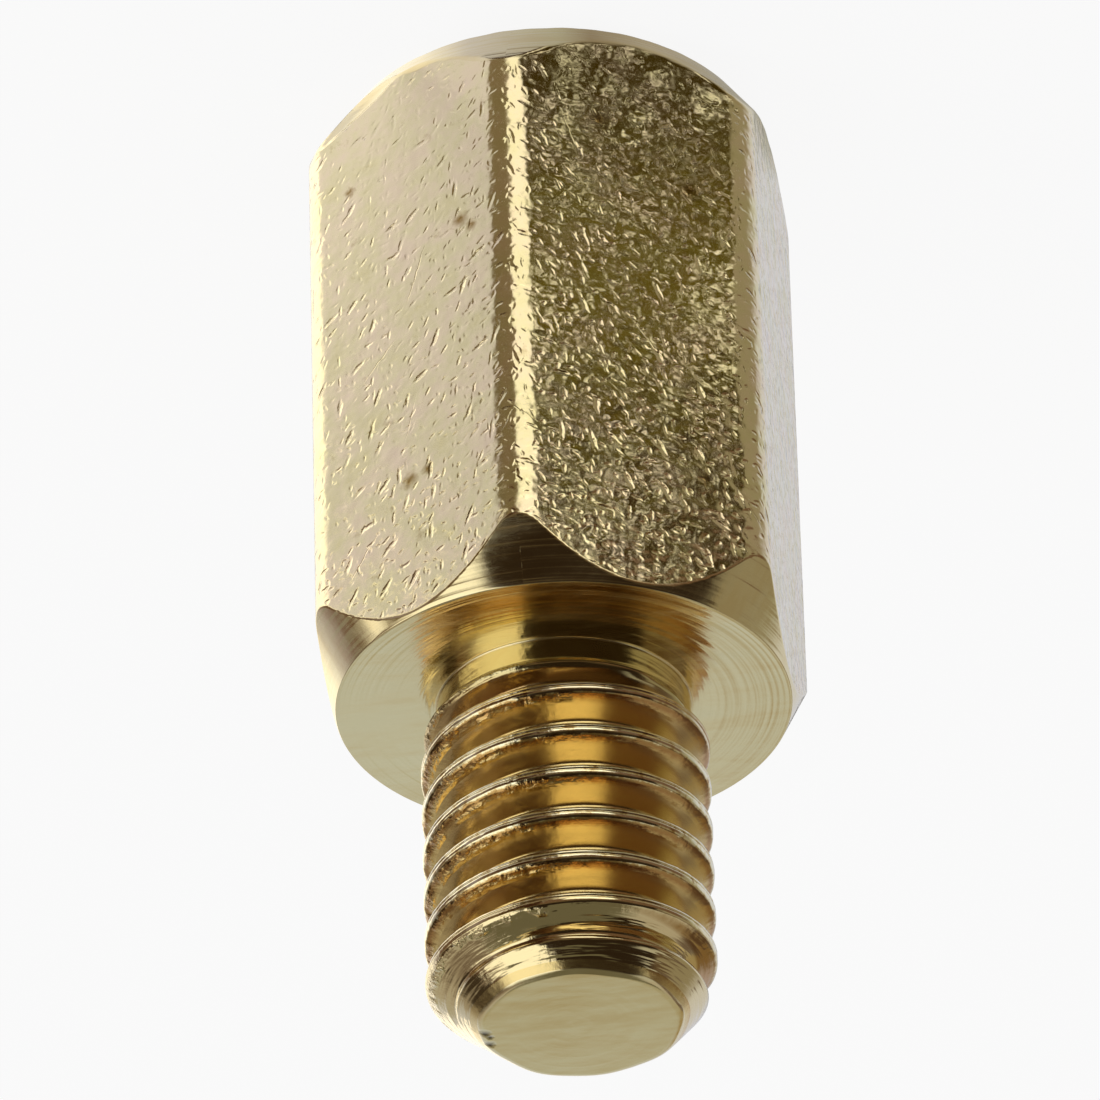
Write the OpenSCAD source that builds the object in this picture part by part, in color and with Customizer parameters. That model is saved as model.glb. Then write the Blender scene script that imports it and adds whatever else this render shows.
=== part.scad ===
// Hex standoff, male to female, turned in one piece from brass hex bar.
// Millimetres. +Z runs along the axis, with the threaded stud up.
// The origin is the centre of the flat female end face.

/* [Hex body] */
// Width across the flats of the bar
across_flats = 4.7; // [4.5:0.1:6]
// Length of the body, from the female end face to the shoulder
body_length = 7; // [6:0.5:25]
// Radius rolled on the six corners of the bar
corner_radius = 0.43; // [0.2:0.01:0.6]

/* [Turned ends] */
// Gap from the flats to the edge circle of the shoulder face
shoulder_inset = 0.02; // [0.01:0.01:0.15]
// Length of the shoulder chamfer for each millimetre of radius
shoulder_slope = 2.08; // [1:0.01:2.5]
// Gap from the flats to the edge circle of the female end face
female_inset = 0.19; // [0.05:0.01:0.3]
// Length of the female end chamfer for each millimetre of radius
female_slope = 1.45; // [1:0.01:2]

/* [Threaded stud] */
// Diameter over the thread crests
thread_diameter = 2.95; // [2.7:0.05:3.1]
// Distance from one crest to the next
thread_pitch = 0.5; // [0.4:0.05:0.6]
// Length of the stud above the shoulder
stud_length = 3.8; // [3:0.1:12]
// Width of the flat on each crest
crest_width = 0.1; // [0.06:0.01:0.12]
// Width of the flat in each root
root_width = 0.05; // [0.03:0.01:0.08]
// Height of the 45 degree lead chamfer at the tip
tip_chamfer = 0.47; // [0.3:0.01:0.6]
// Turn of the thread about the axis, in degrees
thread_turn = 160; // [0:5:360]

/* [Neck] */
// Step in radius from the crests down to the plain neck
neck_step = 0.175; // [0.16:0.005:0.2]
// Length of the plain neck from the shoulder
neck_length = 0.32; // [0.25:0.01:0.5]
// Fillet between the neck and the shoulder
neck_fillet = 0.05; // [0.03:0.01:0.07]
// Depth of the relief turned in the shoulder around the neck
relief_depth = 0.03; // [0.02:0.01:0.05]
// Gap from the crests to the outer edge of that relief
relief_gap = 0.075; // [0.05:0.005:0.15]

/* [Tapped bore] */
// Diameter of the bore before its thread
bore_diameter = 2.5; // [2.2:0.05:2.7]
// Metal left between the end of the full bore and the shoulder
bore_floor = 1.6; // [1.3:0.1:3]
// Diameter of the 90 degree countersink at the mouth
mouth_diameter = 3.4; // [3:0.05:3.8]

/* [Hidden] */
$fn = 96;
brass = [0.72, 0.58, 0.30];
// how far cutters and joined solids run past the faces they meet
past = 0.5;
// steps of the thread in one turn
thread_steps = 40;

flat_r = across_flats / 2;
corner_centre_r = (flat_r - corner_radius) / cos(30);
shoulder_r = flat_r - shoulder_inset;
female_r = flat_r - female_inset;
beyond_r = across_flats * 0.65;

crest_r = thread_diameter / 2;
flank_width = (thread_pitch - crest_width - root_width) / 2;
root_r = crest_r - flank_width / tan(30);
neck_r = crest_r - neck_step;
neck_top = body_length + neck_length;
relief_r = crest_r + relief_gap;
relief_z = body_length - relief_depth;
tip_z = body_length + stud_length;

bore_r = bore_diameter / 2;
bore_depth = body_length - bore_floor;
drill_point = bore_r / tan(59);
mouth_r = mouth_diameter / 2;

// ---- hex body ----

// The two points where the rounding of corner i meets the flats
function corner_ends(i) = [
    for (turn = [-30, 30])
        corner_centre_r * [cos(60 * i), sin(60 * i)]
            + corner_radius * [cos(60 * i + turn), sin(60 * i + turn)]
];

module bar_section() {
    polygon([for (i = [0:5]) each corner_ends(i)]);
    for (i = [0:5])
        rotate(60 * i)
            translate([corner_centre_r, 0])
                circle(r = corner_radius);
}

// Solid of revolution that turns a chamfer on each end of the bar
module chamfer_barrel() {
    rotate_extrude()
        polygon([
            [0, -past],
            [female_r - past / female_slope, -past],
            [beyond_r, (beyond_r - female_r) * female_slope],
            [beyond_r, body_length - (beyond_r - shoulder_r) * shoulder_slope],
            [shoulder_r - past / shoulder_slope, body_length + past],
            [0, body_length + past]
        ]);
}

// Shallow ring turned in the shoulder, so that a mating face seats outside the thread
module shoulder_relief() {
    rotate_extrude()
        polygon([
            [neck_r - neck_fillet, relief_z],
            [relief_r - relief_depth, relief_z],
            [relief_r + past, body_length + past],
            [neck_r - neck_fillet, body_length + past]
        ]);
}

module hex_body() {
    difference() {
        intersection() {
            linear_extrude(height = body_length)
                rotate(30)
                    bar_section();
            chamfer_barrel();
        }
        shoulder_relief();
    }
}

// ---- stud ----

module neck() {
    inside_r = root_r - 0.1;
    rotate_extrude() {
        polygon([
            [0, body_length - past],
            [neck_r, body_length - past],
            [neck_r, neck_top],
            [inside_r, neck_top + neck_r - inside_r],
            [0, neck_top + neck_r - inside_r]
        ]);
        difference() {
            translate([neck_r - neck_fillet, relief_z - neck_fillet])
                square(2 * neck_fillet);
            translate([neck_r + neck_fillet, relief_z + neck_fillet])
                circle(r = neck_fillet);
        }
    }
}

// The thread's section, repeated each pitch: crest flat, flank, root flat, flank
section_r = [crest_r, crest_r, root_r, root_r];
section_z = [0, crest_width, crest_width + flank_width, thread_pitch - flank_width];
rod_base = body_length - past - 2 * thread_pitch;
rod_rows = 4 * (ceil((stud_length + past) / thread_pitch) + 3);

function rod_point(step, row) =
    let (r = section_r[row % 4], angle = 360 * step / thread_steps)
    [
        r * cos(angle),
        r * sin(angle),
        rod_base + section_z[row % 4]
            + thread_pitch * (floor(row / 4) + step / thread_steps)
    ];

// After a whole turn the rows meet step 0 one pitch further up
function rod_index(step, row) =
    step == thread_steps ? rod_index(0, row + 4)
    : row <= rod_rows ? step * (rod_rows + 1) + row
    : thread_steps * (rod_rows + 1) + row - rod_rows - 1;

// Closed path round the rod along one row, then back down the pitch that it rises
function rod_rim(row) = [
    for (step = [0:thread_steps]) rod_index(step, row),
    for (down = [3:-1:0]) rod_index(0, row + down)
];

// Helical thread rod, longer at both ends than the stud
module thread_rod() {
    side_points = [
        for (step = [0:thread_steps - 1], row = [0:rod_rows]) rod_point(step, row),
        for (row = [rod_rows + 1:rod_rows + 4]) rod_point(0, row)
    ];
    low = len(side_points);
    rim_low = rod_rim(0);
    rim_high = rod_rim(rod_rows);
    polyhedron(
        points = concat(side_points, [
            [0, 0, rod_base + thread_pitch / 2],
            [0, 0, rod_base + thread_pitch * (rod_rows + 2) / 4]
        ]),
        faces = [
            for (step = [0:thread_steps - 1], row = [0:rod_rows - 1])
                each [
                    [rod_index(step, row), rod_index(step + 1, row + 1), rod_index(step + 1, row)],
                    [rod_index(step, row), rod_index(step, row + 1), rod_index(step + 1, row + 1)]
                ],
            for (i = [0:len(rim_low) - 2]) [low, rim_low[i], rim_low[i + 1]],
            for (i = [0:len(rim_high) - 2]) [low + 1, rim_high[i + 1], rim_high[i]]
        ],
        convexity = 10
    );
}

// Turned envelope of the thread: run-out cone at the neck, lead chamfer at the tip
module thread_envelope() {
    clear = 0.1;
    clear_r = crest_r + clear;
    full_z = neck_top + 0.1;
    rotate_extrude()
        polygon([
            [0, full_z - crest_r],
            [clear_r, full_z + clear],
            [clear_r, tip_z - tip_chamfer - clear],
            [crest_r - tip_chamfer, tip_z],
            [0, tip_z]
        ]);
}

module stud() {
    neck();
    intersection() {
        rotate(thread_turn)
            thread_rod();
        thread_envelope();
    }
}

// ---- bore ----

module bore() {
    translate([0, 0, -past])
        cylinder(h = bore_depth + past, r = bore_r);
    translate([0, 0, bore_depth])
        cylinder(h = drill_point, r1 = bore_r, r2 = 0);
    translate([0, 0, -past])
        cylinder(h = past + mouth_r, r1 = mouth_r + past, r2 = 0);
}

module standoff() {
    color(brass)
        difference() {
            union() {
                hex_body();
                stud();
            }
            bore();
        }
}

standoff();
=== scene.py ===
"""A small brass hex standoff, turned from drawn hexagon bar: a tapped bore at one
end and a threaded stud at the other. Laid out as an add-on and run as a script."""

import math
from functools import partial

import bpy
import numpy as np
from mathutils import Matrix, Vector


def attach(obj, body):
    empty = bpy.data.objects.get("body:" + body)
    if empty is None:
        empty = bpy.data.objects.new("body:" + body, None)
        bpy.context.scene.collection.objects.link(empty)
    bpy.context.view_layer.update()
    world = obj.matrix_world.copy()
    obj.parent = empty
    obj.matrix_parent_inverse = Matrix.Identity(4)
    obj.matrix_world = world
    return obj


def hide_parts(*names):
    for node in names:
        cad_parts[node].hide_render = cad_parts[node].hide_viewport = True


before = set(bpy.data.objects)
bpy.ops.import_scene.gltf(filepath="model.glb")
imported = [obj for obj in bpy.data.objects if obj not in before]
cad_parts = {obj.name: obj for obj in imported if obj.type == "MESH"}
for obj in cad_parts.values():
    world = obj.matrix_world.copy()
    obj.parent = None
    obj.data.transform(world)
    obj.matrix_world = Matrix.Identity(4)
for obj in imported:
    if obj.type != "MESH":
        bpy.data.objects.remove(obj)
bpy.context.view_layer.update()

bl_info = {
    "name": "Hex standoff",
    "version": (1, 0, 0),
    "blender": (4, 5, 0),
    "location": "3D View > Sidebar > Standoff",
    "description": "Turns a small brass hex standoff and sets a plain stage for it",
    "category": "Object",
}

MM = 0.001  # metres in a millimetre
PER_MM = 1 / MM  # scale of a pattern on Object coordinates with one cell in a millimetre
RIDGE_AZIMUTH = -90.0  # a ridge of the hexagon faces -Y
SECTORS = 6


def linear(code):
    """Turns an sRGB hex colour into linear values with alpha."""
    channels = [int(code[i : i + 2], 16) / 255 for i in (1, 3, 5)]
    return (
        *[c / 12.92 if c <= 0.04045 else ((c + 0.055) / 1.055) ** 2.4 for c in channels],
        1.0,
    )


# --- settings ---


def amount(name, description, value, **limits):
    """A number, with its unit and its limits where it has them."""
    return bpy.props.FloatProperty(name=name, description=description, default=value, **limits)


def length(name, description, millimetres, least=0.0):
    """A length property, given in millimetres and kept in metres."""
    kind = {"precision": 6, "unit": "LENGTH", "subtype": "DISTANCE"}
    return amount(name, description, millimetres * MM, min=least * MM, **kind)


def turn_angle(name, description, degrees):
    """An angle property, given in degrees and kept in radians."""
    return amount(name, description, math.radians(degrees), subtype="ANGLE")


class BodySizes(bpy.types.PropertyGroup):
    """Sizes of the hexagonal body and its bore."""

    across_flats: length("Across flats", "Distance between two opposite flats", 4.7)
    body_length: length("Body length", "From the tapped end to the shoulder", 7.0)
    corner_radius: length("Corner radius", "Drawn radius of the six ridges", 0.43)
    shoulder_radius: length("Shoulder radius", "Flat ring at the stud end", 2.33)
    shoulder_slope: amount("Shoulder slope", "Rise over run of the stud-end chamfer", 2.08)
    mouth_face_radius: length("End face radius", "Flat ring at the tapped end", 2.16)
    mouth_face_slope: amount("End slope", "Rise over run of the tapped-end chamfer", 1.45)
    bore_radius: length("Bore radius", "Radius of the tapping hole", 1.25)
    bore_depth: length("Bore depth", "Depth of the full bore", 5.4)
    drill_point: length("Drill point", "Depth of the cone left by the drill", 0.751)
    countersink_radius: length("Countersink radius", "Radius of the bore's mouth", 1.70)


class StudSizes(bpy.types.PropertyGroup):
    """Sizes of the threaded stud."""

    stud_length: length("Stud length", "From the shoulder to the tip", 3.8)
    crest_radius: length("Crest radius", "Half the thread's major diameter", 1.475)
    neck_radius: length("Neck radius", "Plain neck under the thread", 1.30)
    neck_length: length("Neck length", "Where the thread's root cone starts", 0.32)
    relief_radius: length("Relief radius", "Shallow ring turned round the neck", 1.55)
    relief_depth: length("Relief depth", "Depth of that ring", 0.012)
    relief_run: length("Relief run", "How far that ring's side slopes", 0.20)
    tip_chamfer: length("Tip chamfer", "Chamfer at the stud's tip", 0.47)
    pitch: length("Pitch", "Axial distance between two threads", 0.5)
    crest_width: length("Crest width", "Flat on top of the thread", 0.1)
    root_width: length("Root width", "Flat at the bottom of the thread", 0.05)
    seam_width: length("Seam width", "Half the width of the seam along the crest", 0.015)
    seam_depth: length("Seam depth", "Depth of that seam", 0.009)
    seam_shift: length("Seam shift", "From the crest's middle towards the tip", -0.011, -0.05)
    thread_start: length("Thread start", "Height the thread is counted from", 5.5)
    thread_turn: turn_angle("Thread turn", "Where the thread starts round the stud", 160.0)


class FinishSettings(bpy.types.PropertyGroup):
    """Colour of the brass."""

    brass: bpy.props.FloatVectorProperty(
        name="Brass",
        description="Colour of clean turned brass",
        subtype="COLOR",
        size=3,
        default=linear("#EFDEAD")[:3],
        min=0.0,
        max=1.0,
    )


class StageSettings(bpy.types.PropertyGroup):
    """Camera and lights."""

    azimuth: turn_angle("Azimuth", "Direction of the camera round the part", -99.235)
    elevation: turn_angle("Elevation", "Height of the camera above the floor", 33.522)
    roll: turn_angle("Roll", "Turn of the camera about its own axis", 178.41)
    distance: length("Distance", "From the camera to the point it looks at", 123.377)
    lens: amount("Lens", "Focal length on a 36 mm sensor, in millimetres", 392.6, min=1.0)
    key_power: amount("Key power", "Power of the key softbox", 0.02, min=0.0, unit="POWER")


# --- nodes ---

# Kinds of node that are used often. What follows a colon is the operation. SHIFT adds
# two places, APART takes one from the other.
ADD, SUBTRACT, MULTIPLY, DIVIDE, MULTIPLY_ADD, MAXIMUM, MINIMUM, ABSOLUTE, ARCTAN2 = (
    "ShaderNodeMath:" + operation
    for operation in (
        "ADD", "SUBTRACT", "MULTIPLY", "DIVIDE", "MULTIPLY_ADD", "MAXIMUM", "MINIMUM",
        "ABSOLUTE", "ARCTAN2",
    )
)
SHIFT, APART, SCALE, LENGTH, DISTANCE = (
    "ShaderNodeVectorMath:" + operation
    for operation in ("ADD", "SUBTRACT", "SCALE", "LENGTH", "DISTANCE")
)
JOIN, SPLIT = "ShaderNodeCombineXYZ", "ShaderNodeSeparateXYZ"
NOISE = "ShaderNodeTexNoise"  # fed with a place, W, scale, detail and roughness
RANGE = "ShaderNodeMapRange"  # fed with a value, and the two ends it goes from and to
MIX, MIX_COLOURS = "ShaderNodeMix", {"out": 2, "data_type": "RGBA"}
EVERY = slice(None)  # all outputs of a node


def add_node(tree, kind, *feeds, out=0, **settings):
    """Adds a node, applies its settings and fills its inputs, in order or, where a feed
    is a dictionary, by socket. Returns the chosen output."""
    kind, _, operation = kind.partition(":")
    node = tree.nodes.new(kind)
    if operation:
        node.operation = operation
    for key, value in settings.items():
        setattr(node, key, value)
    for index, feed in enumerate(feeds):
        for socket, value in (feed if isinstance(feed, dict) else {index: feed}).items():
            if isinstance(value, bpy.types.NodeSocket):
                tree.links.new(value, node.inputs[socket])
            else:
                node.inputs[socket].default_value = value
    return node.outputs[out] if len(node.outputs) else node


def place_parts(node, place):
    """The x, y and z of a place, its flat part, and its distance from the axis. As below,
    node is add_node for one tree."""
    x, y, z = node(SPLIT, place, out=EVERY)
    flat = node(JOIN, x, y)
    return x, y, z, flat, node(LENGTH, flat, out="Value")


def set_stops(ramp, *stops):
    """Gives a colour ramp its stops of (place, linear colour), first to last."""
    for element, (place, colour) in zip(ramp.elements, (stops[0], stops[-1])):
        element.position, element.color = place, colour
    for place, colour in stops[1:-1]:
        ramp.elements.new(place).color = colour


# --- the turned blank ---

ZONE_BORE, ZONE_TURNED, ZONE_FLATS, ZONE_THREAD = range(4)  # also the material slots
CUT_BORE, CUT_STUD = 1, 2  # which thread is cut at a point
RIDGE_COLUMNS, FLAT_COLUMNS = 9, 12  # across a ridge, and on half a flat
ROUND_STEPS = 5  # points round a corner
CORNER_POINTS = ROUND_STEPS + 2  # with the two that keep the faces beside it flat
ROUND_SHARE = 0.45  # the most of a side that a rounding takes
# From a rounding to the row that stops its shading: at most so many mm, and this share
# of the rounding.
SUPPORT, SUPPORT_SHARE = 0.004, 0.1
CHAMFER_GAP = 0.10  # mm from the rim of a 45 degree chamfer to the helical rows
BORE_GAP = 0.2  # mm from the end of the full bore to its helical rows
NECK_GAP = 0.12  # mm of plain neck before the stud's helical rows
CONE_EARLY = 0.075  # mm that the blank's root cone starts before the thread runs out
BORE_MARKS = (0, 0.1, 0.17, 0.25, 0.35, 0.45, 0.55, 0.65, 0.75, 0.83, 0.9)  # in pitches
CREST_MARKS = (0, 0.010, 0.022, 0.045, 0.08, 0.12)  # mm down from the crest's edge
ROOT_MARKS = (0.03, 0.012, 0, -0.012)  # mm before the root's edge
SEAM_MARKS = (-1.25, -1, -0.5, 0, 0.5, 1, 1.4, 2.2)  # in half widths of the seam
SPAN_PARTS = (1, 4, 6, 16, 5, 6, 1, 2, 2)  # parts of the straight after each corner
WEAR_WAVES = ((2, 0.4), (5, 2.1), (9, 5.0), (22, 1.3), (41, 3.7))  # count, start
BRUISE_AZIMUTH, BRUISE_SPREAD, BRUISE = 325, 16, 2.2  # on the mouth's edge, on its left
BURR_AZIMUTH, BURR_SPREAD = 297, 17  # on the shoulder's edge
TIP_WEAR = 0.035  # how far the rim of the tip strays, as a share of its radius
TIP_WEAR_RUN = 0.25  # mm below the tip where that starts
TIP_SHIFT = 0.09  # mm the end face sits off the axis, towards -X
DENT_AZIMUTH, DENT_SPREAD = 315.5, 12.0  # degrees, of the long dent at the mouth's edge
DENT_REACH, DENT_DEPTH = 0.17, 0.03  # mm from the edge to its rims, and below them


def hexagon_radius(sizes, azimuth):
    """Radius in mm of the drawn bar at azimuths in radians, and how many degrees from a
    ridge its rounding ends."""
    flat, corner = sizes.across_flats / 2 / MM, sizes.corner_radius / MM
    centre = (flat - corner) / math.cos(math.pi / 6)
    tangent = math.atan2(corner * 0.5, centre + corner * math.cos(math.pi / 6))
    step = 2 * math.pi / SECTORS
    off = (azimuth - math.radians(RIDGE_AZIMUTH) + step / 2) % step - step / 2
    arc = centre * np.cos(off) + np.sqrt(
        np.maximum(corner**2 - (centre * np.sin(off)) ** 2, 0)
    )
    plain = flat / np.cos(math.pi / 6 - np.abs(off))
    return np.where(np.abs(off) < tangent, arc, plain), math.degrees(tangent)


def column_azimuths(sizes):
    """Azimuths of the mesh columns in degrees from 0 to 360: close on the ridges,
    wide on the flats."""
    _, tangent = hexagon_radius(sizes, np.zeros(1))
    arc = np.linspace(-tangent, tangent, RIDGE_COLUMNS)
    flat = np.linspace(tangent + 0.4, 30.0, FLAT_COLUMNS)
    sector = np.concatenate([-flat[::-1][1:], arc, flat])
    turns = [RIDGE_AZIMUTH + 60 * k + sector for k in range(SECTORS)]
    return np.sort(np.mod(np.concatenate(turns).round(6), 360.0))


def rounded(corners):
    """An open profile of (radius, height, size of the rounding) in mm, with each corner
    but the first and last rounded by a short curve of a few points."""
    places = [np.array(corner[:2]) for corner in corners]
    sizes = [corner[2] for corner in corners]
    points = [places[0]]
    for before, corner, after, size in zip(places, places[1:], places[2:], sizes[1:]):
        into, away = before - corner, after - corner
        long_in, long_out = np.linalg.norm(into), np.linalg.norm(away)
        reach = min(size, ROUND_SHARE * long_in, ROUND_SHARE * long_out)
        support = min(SUPPORT_SHARE * reach, SUPPORT)
        into, away = into / long_in, away / long_out
        start, end = corner + into * reach, corner + away * reach
        points.append(start + into * support)
        for t in np.linspace(0, 1, ROUND_STEPS):
            points.append((1 - t) ** 2 * start + 2 * t * (1 - t) * corner + t * t * end)
        points.append(end + away * support)
    points.append(places[-1])
    return np.array(points)


def subdivided(points, counts):
    """Puts extra points on chosen segments; counts maps a segment to its parts."""
    out = [points[0]]
    for i in range(len(points) - 1):
        parts = counts.get(i, 1)
        for k in range(1, parts + 1):
            out.append(points[i] + (points[i + 1] - points[i]) * k / parts)
    return np.array(out)


def helical_rows(marks, first, last, pitch):
    """Row offsets that repeat with the pitch and cover first to last and a pitch more."""
    marks = np.sort(np.mod(np.array(marks), pitch))
    low, high = min(first, last) - pitch, max(first, last)
    turns = np.arange(math.floor((low - 1) / pitch), math.ceil((high + 1) / pitch) + 1)
    rows = np.sort((turns[:, None] * pitch + marks[None, :]).ravel())
    rows = rows[(rows > low - pitch / 2) & (rows < high + pitch / 2)]
    below = np.searchsorted(rows, low + 1e-9) - 1
    above = np.searchsorted(rows, high - 1e-9) + 1
    rows = rows[max(below, 0) : above]
    return rows if last > first else rows[::-1]


def edge_wear(azimuth, finest=41):
    """How worn an edge is at an azimuth in radians: 1 on average, 0.5 to 1.7. It changes
    up to so many times in a turn."""
    waves = [np.sin(count * azimuth + start) for count, start in WEAR_WAVES if count <= finest]
    return 1 + 0.25 * sum(waves).clip(-2, 2.8)


def dented(curve, corner, dent):
    """A rounded profile whose fourth corner is struck flat and a little hollow, where
    there is a dent."""
    struck = curve[2 * CORNER_POINTS + 2 : 3 * CORNER_POINTS]
    t = np.linspace(0, 1, ROUND_STEPS)[:, None]
    chord = struck[0] + (struck[-1] - struck[0]) * t
    inward = chord[ROUND_STEPS // 2] - np.array(corner[:2])
    inward = inward / np.linalg.norm(inward)
    chord = chord + inward * DENT_DEPTH * dent * 4 * t * (1 - t)
    struck += (chord - struck) * min(1.0, 2 * dent)
    return curve


def outside_profiles(body, stud, azimuths):
    """The outside from the countersink to the neck, as one profile in mm per column. Its
    edges are worn unevenly, bruised and burred in places, and dented in one."""
    az = np.radians(azimuths)
    sink, face = body.countersink_radius / MM, body.mouth_face_radius / MM
    top, ring = body.body_length / MM, body.shoulder_radius / MM
    relief, run = stud.relief_radius / MM, stud.relief_run / MM
    neck, foot = stud.neck_radius / MM, top - stud.relief_depth / MM
    outline, _ = hexagon_radius(body, az)
    bruised = 1 + BRUISE * np.exp(-(((azimuths - BRUISE_AZIMUTH) / BRUISE_SPREAD) ** 2))
    burred = np.exp(-(((azimuths - BURR_AZIMUTH) / BURR_SPREAD) ** 2))
    dents = np.sqrt(np.clip(1 - ((azimuths - DENT_AZIMUTH) / DENT_SPREAD) ** 2, 0, 1))
    spans = {corner * CORNER_POINTS: parts for corner, parts in enumerate(SPAN_PARTS)}
    profiles = []
    for radius, worn, bruise, burr, dent in zip(outline, edge_wear(az), bruised, burred, dents):
        lower = body.mouth_face_slope * (radius - face)
        upper = top - body.shoulder_slope * (radius - ring)
        corners = [
            (sink - CHAMFER_GAP, CHAMFER_GAP, 0),
            (sink, 0.0, 0.03),
            (face, 0.0, 0.03 * worn),
            (radius, lower, max(0.04 * worn * bruise * (1 - dent), DENT_REACH * dent)),
            (radius, upper, 0.02),
            (ring, top, 0.006 + 0.05 * worn * burr),
            (relief, top, 0.05),
            (relief - run, foot, 0.04),
            (neck, foot, 0.05),
            (neck, top + NECK_GAP, 0),
        ]
        profiles.append(subdivided(dented(rounded(corners), corners[3], dent), spans))
    return np.array(profiles)


def blank_rows(body, stud, azimuths):
    """Rows of (radius, height, zone) from the bottom of the bore round the outside to
    the tip, with the row each one meets after a full turn. Lengths are in mm."""
    az = np.radians(azimuths)
    bore, depth = body.bore_radius / MM, body.bore_depth / MM
    sink, top = body.countersink_radius / MM, body.body_length / MM
    neck, crest = stud.neck_radius / MM, stud.crest_radius / MM
    tip, chamfer = top + stud.stud_length / MM, stud.tip_chamfer / MM
    pitch, end_radius = stud.pitch / MM, crest - chamfer
    cone = top + stud.neck_length / MM - CONE_EARLY
    rows = []  # (radius array, height array, zone)
    partner = []

    def ring_row(radius, height, zone):
        """Adds a level row, which meets itself."""
        partner.append(len(rows))
        rows.append((np.broadcast_to(radius, az.shape), np.broadcast_to(height, az.shape), zone))

    def helix(marks, step, low, high, curve, zone):
        """Adds rows that rise with the thread and lie on a profile curve. After a turn,
        each meets the one so many steps on."""
        begin, last = len(rows), len(rows) + len(marks) - 1
        for row, mark in enumerate(marks, begin):
            z = np.clip(mark + pitch * az / (2 * math.pi), low, high)
            rows.append((np.interp(z, curve[:, 1], curve[:, 0]), z, zone))
            partner.append(min(max(row + step, begin), last))

    # the drill point and the bore wall, to where the helical rows start
    low, deep = CHAMFER_GAP, depth - BORE_GAP
    drilled = [(0.0, depth + body.drill_point / MM, 0), (bore, depth, 0.05), (bore, deep, 0)]
    for r, z in rounded(drilled):
        ring_row(r, z, ZONE_BORE)

    # the bore wall, in rows that follow the tapped thread
    mouth = rounded([(bore, depth, 0), (bore, sink - bore, 0.04), (sink, 0.0, 0)])[::-1]
    turn = stud.thread_start / MM + stud.crest_width / MM / 2
    turn -= pitch * math.degrees(stud.thread_turn) / 360
    marks = helical_rows([turn + pitch * f for f in BORE_MARKS], deep, low, pitch)
    helix(marks, -len(BORE_MARKS), low, deep, mouth, ZONE_BORE)

    # the outside, from the countersink to the neck
    profiles = outside_profiles(body, stud, azimuths)
    total = profiles.shape[1]
    first_flat = 3 * CORNER_POINTS + SPAN_PARTS[1] + SPAN_PARTS[2] - 2
    last_flat = first_flat + SPAN_PARTS[3]
    for i in range(total):
        zone = ZONE_FLATS if first_flat <= i < last_flat else ZONE_TURNED
        if i > total - 2 - SPAN_PARTS[-1]:
            zone = ZONE_THREAD
        ring_row(profiles[:, i, 0], profiles[:, i, 1], zone)

    # the stud, in rows that follow the thread
    stud_curve = rounded(
        [
            (neck, top - stud.relief_depth / MM, 0),
            (neck, cone, 0.03),
            (crest, cone + crest - neck, 0.03),
            (crest, tip - chamfer, 0.05),
            (end_radius, tip, 0),
        ]
    )
    flat, root, half = stud.crest_width / MM / 2, stud.root_width / MM / 2, pitch / 2
    shift, wide = stud.seam_shift / MM, stud.seam_width / MM
    steps = [flat + s for s in CREST_MARKS] + [half - root - s for s in ROOT_MARKS]
    outer = {turn + half} | {turn + s for s in steps} | {turn - s for s in steps}
    outer |= {turn + shift + wide * s for s in SEAM_MARKS}
    low, high = top + NECK_GAP, tip - CHAMFER_GAP
    marks = helical_rows(sorted(outer), low, high, pitch)
    helix(marks, len(outer), low, high, stud_curve, ZONE_THREAD)

    # the tip, to the axis: its rim is worn and its end face sits off the axis
    end = rounded([(end_radius + CHAMFER_GAP, high, 0), (end_radius, tip, 0.045), (0.0, tip, 0)])
    for r, z in subdivided(end, {CORNER_POINTS: 8}):
        ring_row(r, z, ZONE_TURNED)
    wobble = TIP_WEAR * (edge_wear(az, finest=9) - 1) * end_radius
    for i, (radius, height, zone) in enumerate(rows):
        share, lean = (
            np.clip((height - (tip - span)) / span, 0, 1) * radius / end_radius
            for span in (TIP_WEAR_RUN, chamfer)
        )
        if zone != ZONE_BORE and lean.max() > 0:
            rows[i] = (radius + wobble * share - TIP_SHIFT * np.cos(az) * lean, height, zone)
    return rows, partner


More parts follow.
